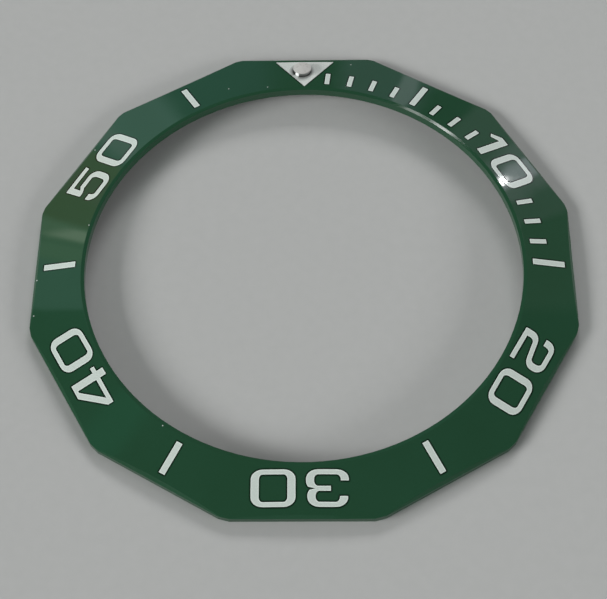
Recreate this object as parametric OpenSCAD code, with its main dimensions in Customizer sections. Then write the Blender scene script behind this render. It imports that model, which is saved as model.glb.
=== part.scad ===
// Bezel insert for a diver's watch: a twelve-sided ceramic ring with a sloping
// dial face. Numerals, bars, minute ticks and a triangle are engraved into the
// face and each one is filled, and a raised pearl stands in the triangle. A
// nearly level land runs round the bore. The underside rises towards the bore
// as the face does, inside a flat seat along the outer edge.
// Millimetres. Z is up and the ring lies on Z = 0 with its axis on Z.
// The triangle is at +Y, and the minutes run clockwise when seen from above.

/* [Ring] */
// Distance between two opposite flat sides
across_flats = 38.5; // [36:0.1:42]
// Number of flat sides
side_count = 12; // [10, 12]
// Width of the ring at the middle of a flat side, from the flat to the bore
ring_width = 3.65; // [3.4:0.05:4.2]
// Thickness at the middle of a flat side, at the outer edge
edge_h = 0.6; // [0.5:0.05:0.9]
// Slope of the face, falling outwards from the bore
face_angle = 12.5; // [9:0.5:15]
// Radial width of the nearly level land between the face and the bore
bore_land = 0.25; // [0.1:0.05:0.3]
// Drop of that land towards the bore
bore_land_drop = 0.035; // [0.01:0.005:0.12]
// Width of the flat seat under the outer edge, at the middle of a flat side
seat_width = 0.5; // [0.3:0.05:1]
// Width of the bevel along the top of each flat side
side_bevel = 0.2; // [0.1:0.02:0.24]
// How far each corner is turned back from the sharp point
corner_clip = 0.1; // [0.04:0.02:0.3]

/* [Engraving] */
// Depth of every engraved pocket
pocket_depth = 0.22; // [0.15:0.01:0.28]
// Gap between a filling and the wall of its pocket
fill_gap = 0.03; // [0.005:0.005:0.035]

/* [Bars and ticks] */
// Radial length of a five-minute bar
bar_length = 2.3; // [1.8:0.1:2.6]
// Width of a five-minute bar
bar_width = 0.44; // [0.3:0.02:0.6]
// Radial length of a one-minute tick
tick_length = 1.2; // [0.8:0.1:1.5]
// Width of a one-minute tick
tick_width = 0.35; // [0.2:0.01:0.4]

/* [Numerals] */
// Height of a digit
digit_h = 2.42; // [2:0.02:2.46]
// Thickness of the upright strokes
stem = 0.53; // [0.4:0.01:0.56]
// Thickness of the level strokes
beam = 0.31; // [0.24:0.01:0.36]
// How far the digits sit inside the middle of the face
digit_inset = 0.14; // [0:0.02:0.16]

/* [Triangle] */
// Width of the triangle's base
triangle_width = 4.46; // [3.8:0.02:4.8]
// Distance from its base to the bevel of the flat side
triangle_edge_gap = 0.2; // [0.1:0.02:0.4]
// Distance from its inner tip to the land round the bore
triangle_tip_gap = 0.1; // [0.06:0.02:0.4]

/* [Pearl] */
// Outer diameter of the pearl's metal cup
cup_d = 1.34; // [1.1:0.02:1.5]
// Wall of the cup
cup_wall = 0.09; // [0.06:0.01:0.14]
// Floor of the cup
cup_floor = 0.1; // [0.06:0.01:0.2]
// How deep the cup sits in the face
cup_depth = 0.46; // [0.3:0.02:0.48]
// How far the cup's rim stands out of the face
cup_proud = 0.28; // [0.15:0.01:0.4]
// How far the dome on the cup reaches past the cup's outer wall
dome_overhang = 0.02; // [0:0.01:0.04]
// Height of the dome's upright edge
dome_edge = 0.05; // [0.03:0.01:0.1]
// Rise of the dome above that edge
dome_rise = 0.09; // [0.05:0.01:0.25]
// Distance of the pearl from the triangle's base, towards the bore
pearl_in = 1.12; // [0.9:0.02:1.3]
// Sideways place of the pearl, where minus is towards the left of the face
pearl_side = -0.18; // [-0.2:0.02:0.2]
// Gap round the cup in its hole, and round what the cup holds
cup_gap = 0.02; // [0.01:0.005:0.04]

/* [Hidden] */
BARS = [5, 15, 25, 35, 45, 55];
TICKS = [1, 2, 3, 4, 6, 7, 8, 12, 13, 14];

// Roundness of every true circle
$fn = 96;
// Straight pieces in a quarter turn of a digit's stroke
bend_steps = 6;
// Reach of a cutting shape past what it cuts
over = 1;

// Ring
apothem = across_flats / 2;
// The bore drops over the bezel's seat
bore_r = apothem - ring_width;
half_turn = 180 / side_count;
corner_r = apothem / cos(half_turn) - corner_clip;
slope = tan(face_angle);
face_in_r = bore_r + bore_land;
face_out_r = apothem - side_bevel;
face_mid_r = (face_in_r + face_out_r) / 2;
seat_in_r = apothem - seat_width;
// Height of the face at a radius
function face_z(r) = edge_h + (apothem - r) * slope;
// Height of the underside where the bore cuts it
bore_low_z = (seat_in_r - bore_r) * slope;

// Marks
minute_angle = 6;
mark_in_r = face_mid_r - bar_length / 2;
digit_in_r = face_mid_r - digit_inset - digit_h / 2;
triangle_base_r = face_out_r - triangle_edge_gap;
triangle_length = triangle_base_r - face_in_r - triangle_tip_gap;
mark_block_h = face_z(bore_r) + over;

// Pearl
pearl_r = triangle_base_r - pearl_in;
cup_r = cup_d / 2;
cup_in_r = cup_r - cup_wall;
lume_r = cup_in_r - cup_gap;
dome_r = cup_r + dome_overhang;
dome_top_z = cup_proud + dome_edge + dome_rise;
dome_ball_r = (dome_r * dome_r + dome_rise * dome_rise) / (2 * dome_rise);

// The digits are drawn on a grid of small squares, this many to their height
grid = digit_h / 242;
zero_w = 294 * grid;
one_w = 148 * grid;
two_w = 272 * grid;
three_w = 281 * grid;
four_w = 306 * grid;
five_w = 265 * grid;
// Left edges of a numeral's two digits, measured sideways from its own hour line
tens_left = -307 * grid;
zero_left = [-76, 39, 43, 56, 40] * grid;

// Outlines, all drawn clockwise, so that the outside is on the left

// Points along a quarter of an ellipse, or any other part of one
function bend(centre, rx, ry, from, to) = [
    for (i = [0 : bend_steps])
        let (a = from + (to - from) * i / bend_steps)
        [centre[0] + rx * cos(a), centre[1] + ry * sin(a)]
];
function heading(from, to) = (to - from) / norm(to - from);
function left_of(h) = [-h[1], h[0]];
// Direction of an open path at one of its points
function path_heading(path, i) =
    heading(path[max(i - 1, 0)], path[min(i + 1, len(path) - 1)]);
// Reach of an oval pen to the left of a heading, half a stem wide and half a beam high
function pen(h) =
    [-stem * stem * h[1], beam * beam * h[0]] / (2 * norm([stem * h[1], beam * h[0]]));
// The two edges that the pen leaves along a path, out on the left and back on the right
function left_edge(path) =
    [for (i = [0 : len(path) - 1]) path[i] + pen(path_heading(path, i))];
function right_edge(path) =
    [for (i = [len(path) - 1 : -1 : 0]) path[i] - pen(path_heading(path, i))];
// An outline moved outwards by the same distance on every side
function grown(points, grow) = [
    for (i = [0 : len(points) - 1])
        let (
            n = len(points),
            before = left_of(heading(points[(i + n - 1) % n], points[i])),
            after = left_of(heading(points[i], points[(i + 1) % n]))
        )
        points[i] + grow * (before + after) / (1 + before * after)
];

// A rectangle that is centred on the Y axis
module upright_block(width, from, to, grow) {
    translate([-width / 2 - grow, from - grow])
        square([width + 2 * grow, to - from + 2 * grow]);
}

// Digits, with the lower left corner at the origin and the height upwards

// Centre lines of the lowest and the highest beam of a digit
low = beam / 2;
high = digit_h - beam / 2;
// Roundness of the bends of a stroke's centre line
turn_x = 52 * grid;
turn_y = 47 * grid;
// What the digits with straight strokes take off their beams and add to their stems
thinner = 3 * grid;

// A box with rounded corners
function round_box(width, height, rx, ry) = concat(
    bend([rx, height - ry], rx, ry, 180, 90),
    bend([width - rx, height - ry], rx, ry, 90, 0),
    bend([width - rx, ry], rx, ry, 0, -90),
    bend([rx, ry], rx, ry, -90, -180)
);

module digit_zero(grow) {
    outer = round_box(zero_w, digit_h, turn_x + stem / 2, turn_y + beam / 2);
    inner = round_box(zero_w - 2 * stem, digit_h - 2 * beam, turn_x - stem / 2, turn_y - beam / 2);
    difference() {
        polygon(grown(outer, grow));
        translate([stem, beam]) polygon(grown(inner, -grow));
    }
}

module digit_one(grow) {
    stem_left = one_w - stem - thinner;
    flag_end = 26 * grid;
    flag_low = digit_h - 72 * grid;
    flag_high = digit_h - 54 * grid;
    flag_join = digit_h - 36 * grid;
    shoulder = 74 * grid;
    polygon(grown([
        [stem_left, 0],
        [stem_left, flag_join],
        [flag_end, flag_low],
        [0, flag_high],
        [shoulder, digit_h],
        [one_w, digit_h],
        [one_w, 0]
    ], grow));
}

module digit_two(grow) {
    top_inset = 5 * grid;
    foot_inset = 7 * grid;
    left = stem / 2;
    right = two_w - stem / 2;
    terminal = digit_h - 82 * grid;
    // How far both bends turn past the vertical into the slanting stroke
    lean = 8;
    waist_high = digit_h - 76 * grid;
    waist_low = 55 * grid;
    foot_w = two_w - foot_inset;
    path = concat(
        [[left + top_inset, terminal]],
        bend([left + top_inset + turn_x, high - turn_y], turn_x, turn_y, 180, 90),
        bend([right - turn_x, high - turn_y], turn_x, turn_y, 90, 0),
        bend([right - turn_x, waist_high], turn_x, turn_y, 0, lean - 90),
        bend([left + turn_x, waist_low], turn_x, turn_y, lean + 90, 180),
        [[left, beam]]
    );
    polygon(grown(concat(
        left_edge(path),
        [[foot_w, beam], [foot_w, 0], [0, 0]],
        right_edge(path)
    ), grow));
}

module digit_three(grow) {
    top_inset = 6 * grid;
    upper_inset = 9 * grid;
    middle_lift = 2 * grid;
    left = stem / 2;
    right = three_w - stem / 2;
    upper_right = right - upper_inset;
    middle = digit_h / 2 + middle_lift;
    arm_end = 118 * grid;
    // Tip of the notch on the right, and how far each lobe bends towards it
    notch = 213 * grid;
    notch_turn = 40;
    upper_terminal = digit_h - 70 * grid;
    lower_terminal = 70 * grid;
    upper_start = concat(
        [[left + top_inset, upper_terminal]],
        bend([left + top_inset + turn_x, high - turn_y], turn_x, turn_y, 180, 90),
        bend([upper_right - turn_x, high - turn_y], turn_x, turn_y, 90, 0)
    );
    lower_end = concat(
        bend([right - turn_x, low + turn_y], turn_x, turn_y, 0, -90),
        bend([left + turn_x, low + turn_y], turn_x, turn_y, -90, -180),
        [[left, lower_terminal]]
    );
    upper_waist = [upper_right - turn_x, middle + turn_y];
    lower_waist = [right - turn_x, middle - turn_y];
    polygon(grown(concat(
        left_edge(concat(upper_start, bend(upper_waist, turn_x, turn_y, 0, -notch_turn))),
        [[notch, middle]],
        left_edge(concat(bend(lower_waist, turn_x, turn_y, notch_turn, 0), lower_end)),
        right_edge(concat([[arm_end, middle]], bend(lower_waist, turn_x, turn_y, 90, 0), lower_end)),
        right_edge(concat(upper_start, bend(upper_waist, turn_x, turn_y, 0, -90), [[arm_end, middle]]))
    ), grow));
}

module digit_four(grow) {
    arm_low = 47 * grid;
    arm_high = arm_low + beam - thinner;
    stem_left = 208 * grid;
    stem_right = stem_left + stem + thinner;
    // Height at which the slant starts on the left, and its width sideways
    knee = 86 * grid;
    slant_w = 60 * grid;
    counter_drop = 24 * grid;
    counter_top = digit_h - counter_drop;
    difference() {
        polygon(grown([
            [0, arm_low],
            [0, knee],
            [digit_h - knee, digit_h],
            [stem_right, digit_h],
            [stem_right, arm_high],
            [four_w, arm_high],
            [four_w, arm_low],
            [stem_right, arm_low],
            [stem_right, 0],
            [stem_left, 0],
            [stem_left, arm_low]
        ], grow));
        polygon(grown([
            [arm_high - knee + slant_w, arm_high],
            [counter_top - knee + slant_w, counter_top],
            [stem_left, counter_top],
            [stem_left, arm_high]
        ], -grow));
    }
}

module digit_five(grow) {
    // How far the short stem and the roof lean in from the digit's corners
    stem_lean = 6 * grid;
    roof_inset = 5 * grid;
    roof_lean = 4 * grid;
    stem_right = 42 * grid;
    shelf_start = 60 * grid;
    left = stem / 2;
    right = five_w - stem / 2;
    roof_lift = 2 * grid;
    shelf_lift = 5 * grid;
    shelf = digit_h - 87 * grid;
    stem_low = digit_h - 120 * grid;
    roof_low = digit_h - beam + roof_lift;
    terminal = 70 * grid;
    path = concat(
        [[left + shelf_start, shelf]],
        bend([right - turn_x, shelf - turn_y], turn_x, turn_y, 90, 0),
        bend([right - turn_x, low + turn_y], turn_x, turn_y, 0, -90),
        bend([left + turn_x, low + turn_y], turn_x, turn_y, -90, -180),
        [[left, terminal]]
    );
    polygon(grown(concat(
        [
            [stem_lean, stem_low],
            [0, digit_h],
            [five_w - roof_inset, digit_h],
            [five_w - roof_inset - roof_lean, roof_low],
            [stem, roof_low],
            [stem, shelf - shelf_lift]
        ],
        left_edge(path),
        right_edge(path),
        [[stem_right, stem_low]]
    ), grow));
}

// Marks seen from above, with 12 o'clock at +Y

// Puts a mark that is drawn at 12 o'clock at a minute
module at_minute(minute) {
    rotate([0, 0, -minute * minute_angle]) children();
}

module tens_outline(tens, grow) {
    at_minute(10 * tens) translate([tens_left, digit_in_r]) {
        if (tens == 1) digit_one(grow);
        if (tens == 2) digit_two(grow);
        if (tens == 3) digit_three(grow);
        if (tens == 4) digit_four(grow);
        if (tens == 5) digit_five(grow);
    }
}

module zero_outline(tens, grow) {
    at_minute(10 * tens) translate([zero_left[tens - 1], digit_in_r])
        digit_zero(grow);
}

module bar_outline(minute, grow) {
    at_minute(minute)
        upright_block(bar_width, mark_in_r, mark_in_r + bar_length, grow);
}

module tick_outline(minute, grow) {
    at_minute(minute)
        upright_block(tick_width, mark_in_r, mark_in_r + tick_length, grow);
}

module triangle_outline(grow) {
    polygon(grown([
        [-triangle_width / 2, triangle_base_r],
        [triangle_width / 2, triangle_base_r],
        [0, triangle_base_r - triangle_length]
    ], grow));
}

// The sloping layer of the ring between two depths under its face
module face_layer(from, to) {
    rotate_extrude()
        polygon([
            [bore_r - over, face_z(bore_r - over) - to],
            [corner_r + over, face_z(corner_r + over) - to],
            [corner_r + over, face_z(corner_r + over) - from],
            [bore_r - over, face_z(bore_r - over) - from]
        ]);
}

// The filling of a mark, level with the face
module filling() {
    intersection() {
        linear_extrude(mark_block_h) children();
        face_layer(0, pocket_depth);
    }
}

// The pocket of a mark
module pocket() {
    intersection() {
        linear_extrude(mark_block_h + over) children();
        face_layer(-over, pocket_depth);
    }
}

// Places a shape on the pearl's own axis, square to the sloping face
module on_pearl_axis() {
    translate([pearl_side, pearl_r, face_z(pearl_r)])
        rotate([-face_angle, 0, 0])
        children();
}

module pearl_hole(r) {
    on_pearl_axis() translate([0, 0, -cup_depth]) cylinder(h = cup_depth + over, r = r);
}

module side_bevels() {
    for (i = [0 : side_count - 1])
        rotate([0, 0, i * 2 * half_turn])
            translate([0, apothem, face_z(apothem)])
            rotate([90, 0, 90])
            linear_extrude(corner_r, center = true)
            polygon([
                [-side_bevel, side_bevel * slope],
                [over, -side_bevel - over],
                [over, over],
                [-side_bevel, over]
            ]);
}

module ring_blank() {
    top_z = face_z(face_in_r);
    intersection() {
        rotate_extrude()
            polygon([
                [seat_in_r, 0],
                [corner_r, 0],
                [corner_r, face_z(corner_r)],
                [face_in_r, top_z],
                [bore_r, top_z - bore_land_drop],
                [bore_r, bore_low_z]
            ]);
        rotate([0, 0, 90 + half_turn])
            translate([0, 0, -over])
            cylinder(h = top_z + 2 * over, r = apothem / cos(half_turn), $fn = side_count);
    }
}

module insert_ring() {
    color([0.13, 0.28, 0.19])
    difference() {
        ring_blank();
        side_bevels();
        for (tens = [1 : 5]) {
            pocket() tens_outline(tens, fill_gap);
            pocket() zero_outline(tens, fill_gap);
        }
        for (minute = BARS) pocket() bar_outline(minute, fill_gap);
        for (minute = TICKS) pocket() tick_outline(minute, fill_gap);
        pocket() triangle_outline(fill_gap);
        pearl_hole(cup_r + cup_gap);
    }
}

module tens_fill(tens) {
    color([0.8, 0.82, 0.8]) filling() tens_outline(tens, 0);
}

module zero_fill(tens) {
    color([0.8, 0.82, 0.8]) filling() zero_outline(tens, 0);
}

module bar_fill(minute) {
    color([0.8, 0.82, 0.8]) filling() bar_outline(minute, 0);
}

module tick_fill(minute) {
    color([0.8, 0.82, 0.8]) filling() tick_outline(minute, 0);
}

module triangle_fill() {
    color([0.78, 0.78, 0.77])
    difference() {
        filling() triangle_outline(0);
        pearl_hole(cup_r + cup_gap);
    }
}

// A cup with a flat floor, square to the face
module pearl_cup() {
    color([0.75, 0.75, 0.76])
    on_pearl_axis()
        rotate_extrude()
        polygon([
            [0, -cup_depth],
            [cup_r, -cup_depth],
            [cup_r, cup_proud],
            [cup_in_r, cup_proud],
            [cup_in_r, cup_floor - cup_depth],
            [0, cup_floor - cup_depth]
        ]);
}

// Luminous filling between the cup's floor and the dome, level with the cup's rim
module pearl_lume() {
    color([0.86, 0.85, 0.8])
    on_pearl_axis()
        translate([0, 0, cup_floor - cup_depth])
        cylinder(h = cup_proud - cup_floor + cup_depth, r = lume_r);
}

// Milky dome that closes the cup: flat below, upright at its edge and round above
module pearl_dome() {
    color([0.85, 0.84, 0.83])
    on_pearl_axis()
        intersection() {
            translate([0, 0, dome_top_z - dome_ball_r]) sphere(r = dome_ball_r);
            translate([0, 0, cup_proud]) cylinder(h = dome_top_z - cup_proud + over, r = dome_r);
        }
}

insert_ring();
triangle_fill();
pearl_cup();
pearl_lume();
pearl_dome();
tens_fill(1);  // digit_1_of_10
zero_fill(1);  // digit_0_of_10
tens_fill(2);  // digit_2_of_20
zero_fill(2);  // digit_0_of_20
tens_fill(3);  // digit_3_of_30
zero_fill(3);  // digit_0_of_30
tens_fill(4);  // digit_4_of_40
zero_fill(4);  // digit_0_of_40
tens_fill(5);  // digit_5_of_50
zero_fill(5);  // digit_0_of_50
bar_fill(5);  // bar_05
bar_fill(15);  // bar_15
bar_fill(25);  // bar_25
bar_fill(35);  // bar_35
bar_fill(45);  // bar_45
bar_fill(55);  // bar_55
tick_fill(1);  // tick_01
tick_fill(2);  // tick_02
tick_fill(3);  // tick_03
tick_fill(4);  // tick_04
tick_fill(6);  // tick_06
tick_fill(7);  // tick_07
tick_fill(8);  // tick_08
tick_fill(12);  // tick_12
tick_fill(13);  // tick_13
tick_fill(14);  // tick_14
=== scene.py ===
import math
from collections import namedtuple

import bmesh
import bpy
from mathutils import Matrix, Vector


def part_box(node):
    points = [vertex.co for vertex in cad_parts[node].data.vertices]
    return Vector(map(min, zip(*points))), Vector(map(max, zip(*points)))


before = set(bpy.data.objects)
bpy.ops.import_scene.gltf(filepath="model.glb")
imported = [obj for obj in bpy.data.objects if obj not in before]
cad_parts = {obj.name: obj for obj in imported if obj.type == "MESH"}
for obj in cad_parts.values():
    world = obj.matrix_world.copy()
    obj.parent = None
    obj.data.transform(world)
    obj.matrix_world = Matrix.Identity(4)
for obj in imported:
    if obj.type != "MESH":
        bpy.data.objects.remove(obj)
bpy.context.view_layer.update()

# Looks of a ceramic bezel insert: camera, floor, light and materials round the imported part.
# Blender counts in metres. Lengths written in millimetres are turned into metres with MM.

MM = 0.001

# Width of the photograph in pixels, in which the camera's focal length is given
PHOTO_WIDTH = 607
SENSOR_WIDTH = 36.0

# Camera fitted to the marks of the photograph: angles in degrees, distance and target in millimetres
CAMERA_FOCAL_PIXELS = 1511.461
CAMERA_ELEVATION = 58.980
CAMERA_AZIMUTH = 2.219
CAMERA_ROLL = -2.239
CAMERA_DISTANCE = 107.468
CAMERA_TARGET = (-0.003, -2.316, 0.0)
# Nearest and furthest distance that the camera shows, in metres
CAMERA_CLIP = (0.001, 5.0)

# Radii in millimetres between which the marks on the ring's face get a painted dark outline of shade round
# their pockets
FACE_RADII = (16.05, 18.85)

# The pearl's cup, from the frame
CUP_LOW, CUP_HIGH = (Vector(corner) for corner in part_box("pearl_cup"))
CUP_MIDDLE = (CUP_LOW + CUP_HIGH) / 2
CUP_RADIUS = (CUP_HIGH.x - CUP_LOW.x) / 2
# Painted shade on the triangle beside the cup: its width, and how far its middle lies from the cup's
CUP_SHADE_WIDTH = 0.35 * MM
CUP_SHADE_SHIFT = Vector((-0.05, 0.03, 0.0)) * MM
# Painted highlight on the cup's wall: its azimuth, half its width and the half that is fully bright, in
# degrees
PAINTED_GLINT_AZIMUTH = -140.0
PAINTED_GLINT_HALF_WIDTH = 18.0
PAINTED_GLINT_FULL_HALF = 10.8

# Values between which most of a noise lies, and the narrower ones that give a sharper grain
NOISE_SPAN = (0.3, 0.7)
SHARP_SPAN = (0.35, 0.65)

# Floor: a flat disc that curves up into a low wall, in metres, and the steps of its mesh
FLOOR_RADIUS = 2.5
COVE_RADIUS = 0.5
WALL_TOP = 0.95
FLOOR_DROP = 0.01 * MM
FLOOR_SIDES = 96
COVE_STEPS = 12

# Lamps that face the middle of the part. Their shares of the floor's light follow the photograph's
# shadows. Angles in degrees, lengths in metres.
Lamp = namedtuple("Lamp", "name azimuth elevation width height radiance")
LAMP_DISTANCE = 2.0
LAMPS = (
    Lamp("left_box", -107, 22, 1.1, 0.5, 26.5),
    Lamp("back_box", 6, 24, 1.0, 0.4, 19.5),
    Lamp("right_box", 113, 15, 1.2, 0.4, 17.0),
)

# Even level of the studio's walls, and brighter soft patches of them, which the glossy face mirrors.
# All angles are in degrees: a patch has the limits of its azimuth and elevation, the softness of its
# edges in both, and the change of its azimuth per degree of elevation.
WORLD_LEVEL = (0.035, 0.035, 0.035)
Patch = namedtuple("Patch", "name azimuths elevations edges slant colour strength")
PATCHES = (
    Patch("left_sheet", (-50.6, -43.5), (25, 62), (0.5, 4), 0, (0.60, 1.00, 0.95), 0.43),
    Patch("left_glow", (-43.5, -40.9), (25, 62), (0.7, 4), 0, (0.70, 1.00, 0.65), 0.64),
    Patch("left_strip", (-40.7, -38.2), (25, 62), (0.6, 4), 0, (0.75, 1.00, 0.65), 0.75),
    Patch("left_spark", (-40.3, -38.7), (39.0, 45), (0.4, 0.6), 0, (0.90, 1.00, 0.80), 0.95),
    Patch("left_warm", (-38.2, -28.0), (24, 60), (0.6, 4), 0, (1.00, 0.75, 0.30), 0.36),
    Patch("left_seam", (-34.5, -31.0), (24, 60), (0.8, 4), 0, (0.40, 0.00, 0.50), 0.18),
    Patch("left_cool", (-27.5, -17.5), (22, 60), (1.5, 4), 0, (0.65, 1.00, 1.00), 0.62),
    Patch("left_peak", (-26.6, -24.4), (22, 60), (0.8, 4), 0, (0.90, 0.40, 0.60), 0.22),
    Patch("back_left", (-17.5, -5.0), (20, 50), (2.5, 4), 0, (0.40, 0.75, 1.00), 0.19),
    Patch("right_sheet", (3.0, 13.6), (22, 50), (1.0, 4), 0, (0.70, 0.80, 1.00), 0.30),
    Patch("right_thin", (10.0, 11.8), (22, 50), (0.4, 4), 0, (0.90, 0.95, 1.00), 0.75),
    Patch("right_cool", (18.8, 36.0), (22, 50), (0.8, 4), 0, (0.90, 0.95, 1.00), 0.28),
    Patch("right_glow", (25.2, 32.0), (24, 50), (0.8, 4), 0, (0.90, 0.85, 1.00), 0.45),
    Patch("right_strip", (27.6, 30.2), (24, 50), (0.5, 4), 0, (0.88, 0.88, 1.00), 1.85),
    Patch("right_wall", (36.0, 49.0), (24, 60), (1.5, 4), 0, (0.80, 1.00, 0.80), 0.12),
    Patch("right_lamp", (28.42, 29.18), (35.58, 36.58), (0.12, 0.16), 0.8, (1.00, 1.00, 1.00), 42.0),
    Patch("land_first", (-10.30, -9.35), (63.8, 66.5), (0.08, 0.5), 0, (1.00, 1.00, 1.00), 5.0),
    Patch("land_second", (-11.47, -10.72), (62.9, 65.7), (0.06, 0.5), 0, (1.00, 1.00, 1.00), 9.0),
    Patch("land_third", (-11.47, -11.14), (62.9, 65.2), (0.05, 0.5), 0, (1.00, 1.00, 1.00), 7.0),
    Patch("high_left", (-74.0, -63.0), (60.8, 65.6), (2.0, 1.5), 0, (0.10, 1.00, 0.60), 0.20),
    Patch("front_left", (-146, -118), (14, 40), (5, 5), 0, (0.75, 1.00, 0.90), 1.50),
    Patch("front_near", (-200, -155), (20, 45), (6, 6), 0, (0.60, 1.00, 0.90), 0.20),
)


def direction(azimuth, elevation):
    """Unit vector, with the azimuth from +Y towards +X and the elevation above the floor, in degrees."""
    a, e = math.radians(azimuth), math.radians(elevation)
    return Vector((math.sin(a) * math.cos(e), math.cos(a) * math.cos(e), math.sin(e)))


# Camera

def make_camera():
    back = direction(180 - CAMERA_AZIMUTH, CAMERA_ELEVATION)
    roll = math.radians(CAMERA_ROLL)
    level_right = (-back).cross(Vector((0, 0, 1))).normalized()
    level_up = level_right.cross(-back)
    right = level_right * math.cos(roll) + level_up * math.sin(roll)
    up = level_up * math.cos(roll) - level_right * math.sin(roll)
    place = (Vector(CAMERA_TARGET) + back * CAMERA_DISTANCE) * MM
    data = bpy.data.cameras.new("camera")
    data.sensor_fit = "HORIZONTAL"
    data.sensor_width = SENSOR_WIDTH
    data.lens = CAMERA_FOCAL_PIXELS * SENSOR_WIDTH / PHOTO_WIDTH
    data.clip_start, data.clip_end = CAMERA_CLIP
    camera = bpy.data.objects.new("camera", data)
    camera.matrix_world = Matrix((
        (right.x, up.x, back.x, place.x),
        (right.y, up.y, back.y, place.y),
        (right.z, up.z, back.z, place.z),
        (0, 0, 0, 1),
    ))
    bpy.context.collection.objects.link(camera)
    bpy.context.scene.camera = camera


# Node helpers

def new_material(name):
    material = bpy.data.materials.new(name)
    material.use_nodes = True
    return material, material.node_tree, material.node_tree.nodes["Principled BSDF"]


def add_node(tree, kind, **values):
    made = tree.nodes.new(kind)
    for key, value in values.items():
        setattr(made, key, value)
    return made


def connect(tree, source, target):
    """Links an output to an input, or writes a plain value into the input."""
    if isinstance(source, bpy.types.NodeSocket):
        tree.links.new(source, target)
    else:
        target.default_value = source


def math_node(tree, operation, first, second=0.0):
    made = add_node(tree, "ShaderNodeMath", operation=operation)
    connect(tree, first, made.inputs[0])
    connect(tree, second, made.inputs[1])
    return made.outputs[0]


def vector_node(tree, operation, *sources):
    made = add_node(tree, "ShaderNodeVectorMath", operation=operation)
    for source, target in zip(sources, made.inputs):
        connect(tree, source, target)
    return made.outputs


def flattened(tree, vector):
    """A vector without its height."""
    return vector_node(tree, "MULTIPLY", vector, (1, 1, 0))["Vector"]


def noise(tree, point, size_mm, detail=2.0):
    """Noise whose bumps are about size_mm across."""
    made = add_node(tree, "ShaderNodeTexNoise")
    connect(tree, point, made.inputs["Vector"])
    made.inputs["Scale"].default_value = 1 / (size_mm * MM)
    made.inputs["Detail"].default_value = detail
    return made.outputs["Fac"]


def ramp_value(tree, source, from_low, from_high, to_low, to_high, smooth=False):
    made = add_node(tree, "ShaderNodeMapRange")
    made.interpolation_type = "SMOOTHSTEP" if smooth else "LINEAR"
    connect(tree, source, made.inputs["Value"])
    made.inputs["From Min"].default_value = from_low
    made.inputs["From Max"].default_value = from_high
    made.inputs["To Min"].default_value = to_low
    made.inputs["To Max"].default_value = to_high
    return made.outputs["Result"]


def varied(tree, noise_value, low, high):
    """A value that a noise moves between low and high."""
    return ramp_value(tree, noise_value, *NOISE_SPAN, low, high)


def sharpened(tree, noise_value):
    """A noise whose middle values are spread over 0 to 1."""
    return ramp_value(tree, noise_value, *SHARP_SPAN, 0.0, 1.0)


def mix_colours(tree, factor, first, second):
    made = add_node(tree, "ShaderNodeMix", data_type="RGBA")
    connect(tree, factor, made.inputs[0])
    for socket, colour in ((made.inputs[6], first), (made.inputs[7], second)):
        if isinstance(colour, bpy.types.NodeSocket):
            tree.links.new(colour, socket)
        else:
            socket.default_value = (*colour, 1.0)
    return made.outputs[2]


def object_point(tree):
    return add_node(tree, "ShaderNodeTexCoord").outputs["Object"]


def bump(tree, height, distance_mm):
    made = add_node(tree, "ShaderNodeBump")
    made.inputs["Strength"].default_value = 1.0
    made.inputs["Distance"].default_value = distance_mm * MM
    connect(tree, height, made.inputs["Height"])
    return made.outputs["Normal"]


def rounded_normal(tree, radius_mm):
    """Normal of a surface whose edges are rounded by a radius."""
    made = add_node(tree, "ShaderNodeBevel", samples=8)
    made.inputs["Radius"].default_value = radius_mm * MM
    return made.outputs["Normal"]


# Masks

def edge_mask(tree, radius_mm, full_at):
    """0 on flat surfaces, rising to 1 close to an edge, where the rounded normal's share of the flat
    one has come down to full_at."""
    flat = add_node(tree, "ShaderNodeNewGeometry").outputs["Normal"]
    share = vector_node(tree, "DOT_PRODUCT", rounded_normal(tree, radius_mm), flat)["Value"]
    return ramp_value(tree, share, 1.0, full_at, 0.0, 1.0)


def specks(tree, point, spacing_mm, size_mm, share):
    """Single grains of dust: mask of small dots, at a share of the cells of a loose grid."""
    cells = add_node(tree, "ShaderNodeTexVoronoi", feature="F1", voronoi_dimensions="2D")
    connect(tree, point, cells.inputs["Vector"])
    cells.inputs["Scale"].default_value = 1 / (spacing_mm * MM)
    radius = size_mm / 2 / spacing_mm
    full_radius = 0.6 * radius
    dot = ramp_value(tree, cells.outputs["Distance"], full_radius, radius, 1.0, 0.0)
    pick = add_node(tree, "ShaderNodeSeparateColor")
    tree.links.new(cells.outputs["Color"], pick.inputs[0])
    chosen = math_node(tree, "LESS_THAN", pick.outputs[0], share)
    return math_node(tree, "MULTIPLY", dot, chosen)


def between_radii(tree, point, low_mm, high_mm):
    """1 where the distance from the ring's axis lies between two radii, else 0."""
    radius = vector_node(tree, "LENGTH", flattened(tree, point))["Value"]
    return math_node(tree, "MULTIPLY",
                     math_node(tree, "GREATER_THAN", radius, low_mm * MM),
                     math_node(tree, "LESS_THAN", radius, high_mm * MM))


def painted_glint_sector(tree, point):
    """1 in the narrow sector of the cup's painted highlight, seen from the cup's middle, else 0."""
    away = flattened(tree, vector_node(tree, "SUBTRACT", point, CUP_MIDDLE)["Vector"])
    unit = vector_node(tree, "NORMALIZE", away)["Vector"]
    along = vector_node(tree, "DOT_PRODUCT", unit, direction(PAINTED_GLINT_AZIMUTH, 0))["Value"]
    edge, full = (math.cos(math.radians(angle)) for angle in (PAINTED_GLINT_HALF_WIDTH, PAINTED_GLINT_FULL_HALF))
    return ramp_value(tree, along, edge, full, 0.0, 1.0)


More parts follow.
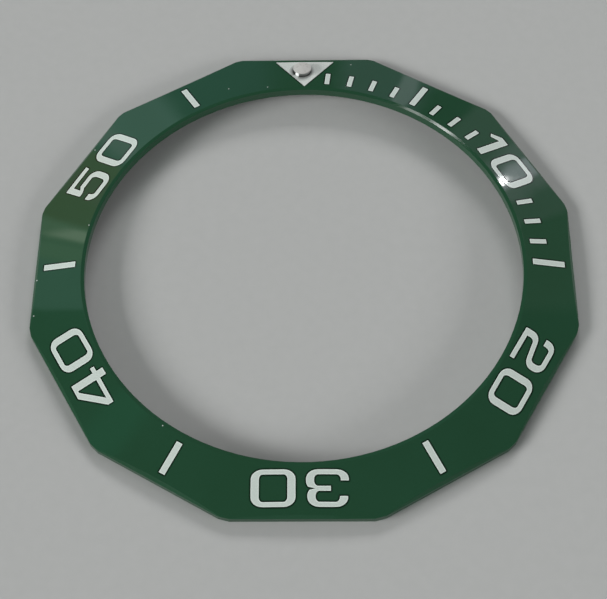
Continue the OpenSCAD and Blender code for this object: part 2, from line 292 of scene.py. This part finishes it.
def cup_shade(tree, point):
    """1 on the triangle right beside the pearl's cup, where shade is painted, falling to 0 further
    out, and 0 at the cup's painted highlight."""
    away = vector_node(tree, "DISTANCE", point, CUP_MIDDLE + CUP_SHADE_SHIFT)["Value"]
    shade = ramp_value(tree, away, CUP_RADIUS, CUP_RADIUS + CUP_SHADE_WIDTH, 1.0, 0.0)
    outside_glint = math_node(tree, "SUBTRACT", 1.0, painted_glint_sector(tree, point))
    return math_node(tree, "MULTIPLY", shade, outside_glint)


# Materials

def ceramic_material():
    """Polished green ceramic with faint clouds, painted shade as a dark outline round the marks and a few
    dust grains.
    """
    cloud_share, grain_share = 0.6, 0.4
    deep_green, light_green = (0.0147, 0.0560, 0.0270), (0.0172, 0.0640, 0.0335)
    rim_shade_green, rim_shade_share = (0.002, 0.008, 0.004), 0.85
    dust_grey = (0.45, 0.47, 0.46)
    material, tree, shader = new_material("polished_ceramic")
    point = object_point(tree)
    clouds = noise(tree, point, 7.0)
    grain = noise(tree, point, 0.12, detail=3.0)
    mixed = math_node(tree, "ADD",
                      math_node(tree, "MULTIPLY", clouds, cloud_share),
                      math_node(tree, "MULTIPLY", grain, grain_share))
    colour = mix_colours(tree, varied(tree, mixed, 0.0, 1.0), deep_green, light_green)
    # Painted shade: a dark outline at the edges of the marks' pockets
    rim_shade = math_node(tree, "MULTIPLY",
                        edge_mask(tree, 0.2, 0.955), between_radii(tree, point, *FACE_RADII))
    rim_shade = math_node(tree, "MULTIPLY", rim_shade, rim_shade_share)
    colour = mix_colours(tree, rim_shade, colour, rim_shade_green)
    dust = specks(tree, point, spacing_mm=3.2, size_mm=0.11, share=0.2)
    colour = mix_colours(tree, dust, colour, dust_grey)
    connect(tree, colour, shader.inputs["Base Color"])
    polish = varied(tree, grain, 0.025, 0.04)
    connect(tree, math_node(tree, "MAXIMUM", polish, dust), shader.inputs["Roughness"])
    shader.inputs["IOR"].default_value = 1.52
    connect(tree, rounded_normal(tree, 0.03), shader.inputs["Normal"])
    return material


def filling_material():
    """Silvery filling of the digits, bars and ticks, with a painted highlight as a lighter rim, under a
    thin clear coat.
    """
    deep_silver, light_silver = (0.53, 0.59, 0.55), (0.60, 0.66, 0.62)
    rim_highlight_silver = (0.76, 0.83, 0.78)
    material, tree, shader = new_material("silver_filling")
    point = object_point(tree)
    grain = noise(tree, point, 0.07, detail=3.0)
    colour = mix_colours(tree, sharpened(tree, grain), deep_silver, light_silver)
    # Painted highlight: a lighter rim along the filling's edges
    colour = mix_colours(tree, edge_mask(tree, 0.12, 0.95), colour, rim_highlight_silver)
    connect(tree, colour, shader.inputs["Base Color"])
    connect(tree, varied(tree, grain, 0.38, 0.5), shader.inputs["Roughness"])
    connect(tree, bump(tree, grain, 0.004), shader.inputs["Normal"])
    shader.inputs["Coat Weight"].default_value = 1.0
    shader.inputs["Coat Roughness"].default_value = 0.035
    return material


def triangle_material():
    """Satin silver of the triangle, with painted shade in the corner beside the pearl's cup."""
    deep_silver, light_silver = (0.53, 0.56, 0.535), (0.64, 0.67, 0.645)
    shade_grey = (0.065, 0.069, 0.065)
    material, tree, shader = new_material("satin_triangle")
    point = object_point(tree)
    grain = noise(tree, point, 0.09, detail=3.0)
    colour = mix_colours(tree, sharpened(tree, grain), deep_silver, light_silver)
    # Painted shade: a dark ring on the triangle round the pearl's cup
    colour = mix_colours(tree, cup_shade(tree, point), colour, shade_grey)
    connect(tree, colour, shader.inputs["Base Color"])
    connect(tree, varied(tree, grain, 0.3, 0.42), shader.inputs["Roughness"])
    connect(tree, bump(tree, grain, 0.004), shader.inputs["Normal"])
    return material


def cup_material():
    """Polished grey metal, with a highlight painted in white in one narrow sector, where it does not
    mirror.
    """
    deep_grey, light_grey = (0.38, 0.38, 0.38), (0.46, 0.46, 0.46)
    glint_white = (0.95, 0.95, 0.95)
    material, tree, shader = new_material("polished_cup")
    point = object_point(tree)
    grain = noise(tree, point, 0.05)
    colour = mix_colours(tree, grain, deep_grey, light_grey)
    # Painted highlight: a white, non-mirroring sector on the cup's wall
    painted_glint = painted_glint_sector(tree, point)
    colour = mix_colours(tree, painted_glint, colour, glint_white)
    connect(tree, colour, shader.inputs["Base Color"])
    connect(tree, math_node(tree, "SUBTRACT", 1.0, painted_glint), shader.inputs["Metallic"])
    connect(tree, varied(tree, grain, 0.1, 0.18), shader.inputs["Roughness"])
    return material


def lume_material():
    """Dull luminous paste inside the cup."""
    deep_cream, light_cream = (0.60, 0.57, 0.55), (0.70, 0.67, 0.65)
    material, tree, shader = new_material("lume_paste")
    point = object_point(tree)
    grain = noise(tree, point, 0.06, detail=3.0)
    connect(tree, mix_colours(tree, grain, deep_cream, light_cream), shader.inputs["Base Color"])
    shader.inputs["Roughness"].default_value = 0.6
    connect(tree, bump(tree, grain, 0.003), shader.inputs["Normal"])
    return material


def dome_material():
    """Milky crystal with a soft gloss, over the luminous paste."""
    deep_milk, light_milk = (0.46, 0.45, 0.43), (0.52, 0.51, 0.49)
    material, tree, shader = new_material("milky_crystal")
    point = object_point(tree)
    haze = noise(tree, point, 0.3)
    connect(tree, mix_colours(tree, haze, deep_milk, light_milk), shader.inputs["Base Color"])
    connect(tree, varied(tree, haze, 0.25, 0.35), shader.inputs["Roughness"])
    connect(tree, rounded_normal(tree, 0.05), shader.inputs["Normal"])
    shader.inputs["IOR"].default_value = 1.5
    return material


def dress_nodes():
    """Gives every CAD node the finish of its slot."""
    finishes = {
        "green_ceramic": ceramic_material(),
        "mark_filling": filling_material(),
        "triangle_metal": triangle_material(),
        "cup_metal": cup_material(),
        "pearl_lume": lume_material(),
        "milky_dome": dome_material(),
    }
    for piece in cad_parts.values():
        for place in piece.material_slots:
            place.material = finishes[place.material.name]


# Floor

def floor_material():
    deep_grey, light_grey = (0.41, 0.41, 0.405), (0.44, 0.44, 0.435)
    material, tree, shader = new_material("pale_floor")
    fine = noise(tree, object_point(tree), 0.8, detail=4.0)
    connect(tree, mix_colours(tree, fine, deep_grey, light_grey), shader.inputs["Base Color"])
    shader.inputs["Roughness"].default_value = 0.9
    return material


def floor_profile():
    """Radius and height of each ring of the floor's mesh, from the flat disc's rim up the wall."""
    profile = [(FLOOR_RADIUS, 0.0)]
    for i in range(1, COVE_STEPS + 1):
        a = math.pi / 2 * i / COVE_STEPS
        profile.append((FLOOR_RADIUS + COVE_RADIUS * math.sin(a), COVE_RADIUS * (1 - math.cos(a))))
    profile.append((FLOOR_RADIUS + COVE_RADIUS, WALL_TOP))
    return profile


def make_floor():
    """A flat floor that curves up into a low wall all round."""
    mesh = bmesh.new()
    centre = mesh.verts.new((0, 0, -FLOOR_DROP))
    rings = []
    for radius, height in floor_profile():
        corners = (direction(360 * k / FLOOR_SIDES, 0) * radius for k in range(FLOOR_SIDES))
        rings.append([mesh.verts.new((x, y, height - FLOOR_DROP)) for x, y, _ in corners])
    for k in range(FLOOR_SIDES):
        after = (k + 1) % FLOOR_SIDES
        mesh.faces.new((centre, rings[0][after], rings[0][k]))
        for inner, outer in zip(rings, rings[1:]):
            mesh.faces.new((inner[k], inner[after], outer[after], outer[k]))
    data = bpy.data.meshes.new("floor")
    mesh.to_mesh(data)
    mesh.free()
    for face in data.polygons:
        face.use_smooth = True
    data.materials.append(floor_material())
    floor = bpy.data.objects.new("floor", data)
    bpy.context.collection.objects.link(floor)


# Light

def make_lamp(lamp):
    """A rectangular lamp that faces the middle of the part, and that shiny surfaces don't mirror."""
    data = bpy.data.lights.new(lamp.name, "AREA")
    data.shape = "RECTANGLE"
    data.size = lamp.width
    data.size_y = lamp.height
    data.energy = lamp.radiance * math.pi * lamp.width * lamp.height
    made = bpy.data.objects.new(lamp.name, data)
    towards = direction(lamp.azimuth, lamp.elevation)
    made.location = towards * LAMP_DISTANCE
    made.rotation_mode = "QUATERNION"
    made.rotation_quaternion = (-towards).to_track_quat("-Z", "Y")
    made.visible_camera = False
    made.visible_glossy = False
    bpy.context.collection.objects.link(made)


def soft_window(tree, value, limits, edge):
    """1 between two limits and 0 outside them, with soft edges."""
    low, high = limits
    rising = ramp_value(tree, value, low - edge, low + edge, 0, 1, smooth=True)
    falling = ramp_value(tree, value, high - edge, high + edge, 1, 0, smooth=True)
    return math_node(tree, "MULTIPLY", rising, falling)


def patch_light(tree, patch, azimuth, elevation):
    """The light of one patch in the direction of an azimuth and an elevation."""
    across = azimuth
    if patch.slant:
        above = math_node(tree, "SUBTRACT", elevation, sum(patch.elevations) / 2)
        lean = math_node(tree, "MULTIPLY", above, patch.slant)
        across = math_node(tree, "SUBTRACT", azimuth, lean)
    azimuth_edge, elevation_edge = patch.edges
    level = math_node(tree, "MULTIPLY",
                      soft_window(tree, across, patch.azimuths, azimuth_edge),
                      soft_window(tree, elevation, patch.elevations, elevation_edge))
    tinted = add_node(tree, "ShaderNodeVectorMath", operation="SCALE", label=patch.name)
    tinted.inputs[0].default_value = [c * patch.strength for c in patch.colour]
    tree.links.new(level, tinted.inputs["Scale"])
    return tinted.outputs[0]


def make_world():
    world = bpy.data.worlds.new("studio")
    world.use_nodes = True
    tree = world.node_tree
    tree.nodes.clear()
    split = add_node(tree, "ShaderNodeSeparateXYZ")
    tree.links.new(add_node(tree, "ShaderNodeTexCoord").outputs["Generated"], split.inputs[0])
    x, y, z = split.outputs
    azimuth = math_node(tree, "DEGREES", math_node(tree, "ARCTAN2", x, y))
    elevation = math_node(tree, "DEGREES", math_node(tree, "ARCSINE", z))
    total = WORLD_LEVEL
    for patch in PATCHES:
        total = vector_node(tree, "ADD", total, patch_light(tree, patch, azimuth, elevation))["Vector"]
    background = add_node(tree, "ShaderNodeBackground")
    tree.links.new(total, background.inputs["Color"])
    output = add_node(tree, "ShaderNodeOutputWorld")
    tree.links.new(background.outputs[0], output.inputs["Surface"])
    bpy.context.scene.world = world


bpy.context.scene.view_settings.view_transform = "Standard"
make_camera()
make_floor()
dress_nodes()
make_world()
for lamp in LAMPS:
    make_lamp(lamp)
